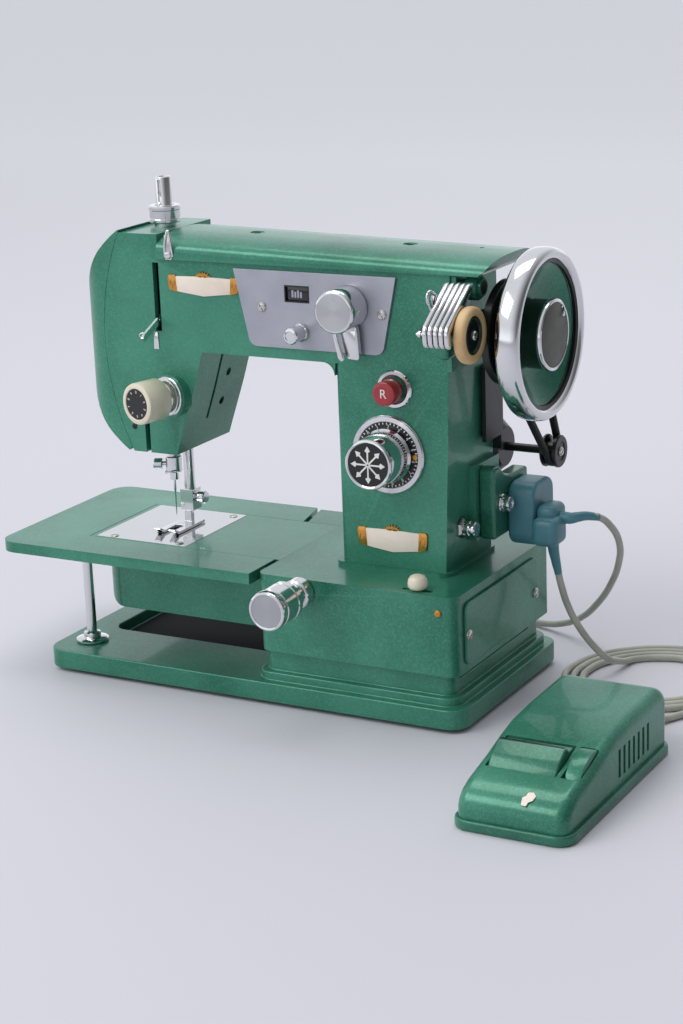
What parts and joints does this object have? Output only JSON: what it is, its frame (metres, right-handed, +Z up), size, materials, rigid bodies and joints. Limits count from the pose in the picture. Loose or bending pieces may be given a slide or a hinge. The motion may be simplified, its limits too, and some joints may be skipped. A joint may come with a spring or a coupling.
{
  "type": "sewing machine",
  "caption": "Portable free-arm zigzag sewing machine in green enamel with extension table, chrome handwheel, control dials, belt motor, foot pedal and leads.",
  "frame": {"origin": "centre of the base's footprint on the surface it stands on", "axes": "+X to the operator's right (handwheel side), -Y to the front, +Z up"},
  "size_m": [0.523, 0.432, 0.3555],
  "materials": {
    "green_enamel": "metallic enamel, gloss",
    "chrome": "polished",
    "steel": "machined",
    "panel_grey": "painted satin",
    "dark_glass": "gloss",
    "badge_metal": "stamped, gloss",
    "black_paint": "satin",
    "cream_plastic": "gloss",
    "red_plastic": "gloss",
    "teal_plastic": "satin",
    "black_rubber": "matte",
    "winder_tyre": "matte",
    "cord_jacket": "satin",
    "bronze": "machined"
  },
  "bodies": {
    "machine": {"plinth_base": "green_enamel", "rubber_feet": "black_rubber", "bed_block": "green_enamel", "bed_side_cover": "green_enamel", "free_arm": "green_enamel", "needle_plate": "chrome", "arm_casting": "green_enamel", "top_cover": "green_enamel", "control_panel": "panel_grey", "panel_window": "dark_glass", "blank_badges": "badge_metal", "thread_guides": "chrome", "tension_discs": "steel", "trim_rings": "chrome", "winder_bracket": "green_enamel", "motor_housing": "black_paint", "terminal_box": "green_enamel", "socket_block": "teal_plastic", "case_screws": "steel", "shaft_bushes": "bronze", "drive_belt": "black_rubber", "pedal_base": "green_enamel", "pedal_housing": "green_enamel", "plug_cap": "teal_plastic", "pedal_cord": "cord_jacket", "pedal_coil": "cord_jacket", "mains_cord": "cord_jacket", "mains_coil": "cord_jacket", "mains_plug": "teal_plastic"},
    "wheel_train": {"handwheel": "green_enamel", "handwheel_rim": "chrome", "main_shaft": "steel"},
    "clutch": {"clutch_knob": "steel"},
    "motor_rotor": {"motor_pulley": "black_paint"},
    "hook": {"hook_shaft": "steel"},
    "gate": {"needle_gate": "steel"},
    "needle_carrier": {"needle_bar": "steel", "needle": "steel"},
    "take_up": {"take_up_lever": "chrome"},
    "presser": {"presser_bar": "steel", "presser_foot": "steel"},
    "lifter": {"presser_lifter": "chrome"},
    "regulator_pin": {"pressure_pin": "chrome"},
    "regulator_ring": {"pressure_ring": "chrome"},
    "tension_dial": {"tension_knob": "cream_plastic"},
    "width_control": {"width_lever": "chrome"},
    "pattern_control": {"pattern_knob": "chrome"},
    "reverse_control": {"reverse_button": "red_plastic"},
    "stitch_dial": {"pattern_dial": "chrome"},
    "length_control": {"feed_knob": "chrome"},
    "drop_feed": {"drop_feed_lever": "cream_plastic"},
    "light_switch": {"side_switch": "chrome"},
    "winder": {"winder_arm": "chrome"},
    "winder_bobbin": {"winder_spindle": "winder_tyre"},
    "table": {"extension_table": "green_enamel", "table_leg": "chrome"},
    "nose_cover": {"face_cover": "green_enamel"},
    "feed": {"feed_dog": "steel"},
    "treadle": {"pedal_treadle": "green_enamel"},
    "speed_lever": {"pedal_side_lever": "green_enamel"}
  },
  "joints": [
    {"name": "handwheel_spin", "type": "hinge", "parent": "machine", "child": "wheel_train", "pos_m": [0.17, 0, 0.26], "axis": [1, 0, 0], "continuous": true},
    {"name": "clutch_turn", "type": "hinge", "parent": "wheel_train", "child": "clutch", "pos_m": [0.195, 0, 0.26], "axis": [1, 0, 0], "range_deg": [0, 90]},
    {"name": "motor_spin", "type": "hinge", "parent": "machine", "child": "motor_rotor", "pos_m": [0.16, 0.061, 0.1635], "axis": [1, 0, 0], "continuous": true},
    {"name": "hook_spin", "type": "hinge", "parent": "machine", "child": "hook", "pos_m": [-0.06, -0.008, 0.066], "axis": [1, 0, 0], "continuous": true},
    {"name": "gate_swing", "type": "slide", "parent": "machine", "child": "gate", "axis": [1, 0, 0], "range_m": [-0.0025, 0.0025]},
    {"name": "needle_bar_slide", "type": "slide", "parent": "gate", "child": "needle_carrier", "axis": [0, 0, -1], "range_m": [0, 0.028]},
    {"name": "take_up_swing", "type": "hinge", "parent": "machine", "child": "take_up", "pos_m": [-0.084, -0.004, 0.275], "axis": [-1, 0, 0], "range_deg": [0, 45]},
    {"name": "presser_lift", "type": "slide", "parent": "machine", "child": "presser", "axis": [0, 0, 1], "range_m": [0, 0.006]},
    {"name": "lifter_turn", "type": "hinge", "parent": "machine", "child": "lifter", "pos_m": [-0.097, 0.038, 0.205], "axis": [0, -1, 0], "range_deg": [0, 75]},
    {"name": "regulator_pin_press", "type": "slide", "parent": "machine", "child": "regulator_pin", "axis": [0, 0, -1], "range_m": [0, 0.01]},
    {"name": "regulator_ring_press", "type": "slide", "parent": "machine", "child": "regulator_ring", "axis": [0, 0, -1], "range_m": [0, 0.0012], "stiffness_N_per_m": 400, "springref_m": -0.004},
    {"name": "tension_turn", "type": "hinge", "parent": "machine", "child": "tension_dial", "pos_m": [-0.076, -0.036, 0.205], "axis": [-0.2588, -0.9659, 0], "range_deg": [-135, 135]},
    {"name": "width_swing", "type": "hinge", "parent": "machine", "child": "width_control", "pos_m": [0.071, -0.05, 0.278], "axis": [0, -1, 0], "range_deg": [-30, 30]},
    {"name": "pattern_turn", "type": "hinge", "parent": "machine", "child": "pattern_control", "pos_m": [0.033, -0.045, 0.258], "axis": [0, -1, 0], "range_deg": [-150, 150]},
    {"name": "reverse_press", "type": "slide", "parent": "machine", "child": "reverse_control", "axis": [0, 1, 0], "range_m": [0, 0.005], "stiffness_N_per_m": 400, "springref_m": -0.002},
    {"name": "dial_turn", "type": "hinge", "parent": "machine", "child": "stitch_dial", "pos_m": [0.097, -0.05, 0.1775], "axis": [0, -1, 0], "continuous": true},
    {"name": "length_turn", "type": "hinge", "parent": "machine", "child": "length_control", "pos_m": [0.0475, -0.1, 0.086], "axis": [0, -1, 0], "range_deg": [-120, 120]},
    {"name": "drop_feed_slide", "type": "slide", "parent": "machine", "child": "drop_feed", "axis": [1, 0, 0], "range_m": [-0.008, 0.008]},
    {"name": "switch_press", "type": "slide", "parent": "machine", "child": "light_switch", "axis": [-1, 0, 0], "range_m": [0, 0.0025], "stiffness_N_per_m": 400, "springref_m": -0.002},
    {"name": "winder_swing", "type": "hinge", "parent": "machine", "child": "winder", "pos_m": [0.155, -0.024, 0.294], "axis": [1, 0, 0], "range_deg": [0, 3.5]},
    {"name": "winder_spin", "type": "hinge", "parent": "winder", "child": "winder_bobbin", "pos_m": [0.16, -0.056, 0.2685], "axis": [1, 0, 0], "continuous": true},
    {"name": "table_slide", "type": "slide", "parent": "machine", "child": "table", "axis": [-1, 0, 0], "range_m": [0, 0.06]},
    {"name": "nose_cover_swing", "type": "hinge", "parent": "machine", "child": "nose_cover", "pos_m": [-0.11, 0.04, 0.24], "axis": [0, 0, -1], "range_deg": [0, 90]},
    {"name": "feed_stroke", "type": "slide", "parent": "machine", "child": "feed", "axis": [0, 1, 0], "range_m": [-0.0015, 0.0015]},
    {"name": "treadle_press", "type": "hinge", "parent": "machine", "child": "treadle", "pos_m": [0.26, -0.1595, 0.027], "axis": [1, 0, 0], "range_deg": [0, 8], "stiffness_Nm_per_rad": 2, "springref_deg": -5.73},
    {"name": "speed_lever_press", "type": "hinge", "parent": "machine", "child": "speed_lever", "pos_m": [0.2925, -0.1595, 0.027], "axis": [1, 0, 0], "range_deg": [0, 8], "stiffness_Nm_per_rad": 1, "springref_deg": -5.73}
  ],
  "couplings": [
    {"joint": "motor_spin", "follows": "handwheel_spin", "ratio": 3.035},
    {"joint": "hook_spin", "follows": "handwheel_spin", "ratio": 2},
    {"joint": "take_up_swing", "follows": "needle_bar_slide", "rad_per_m": 28},
    {"joint": "lifter_turn", "follows": "presser_lift", "rad_per_m": 218}
  ]
}
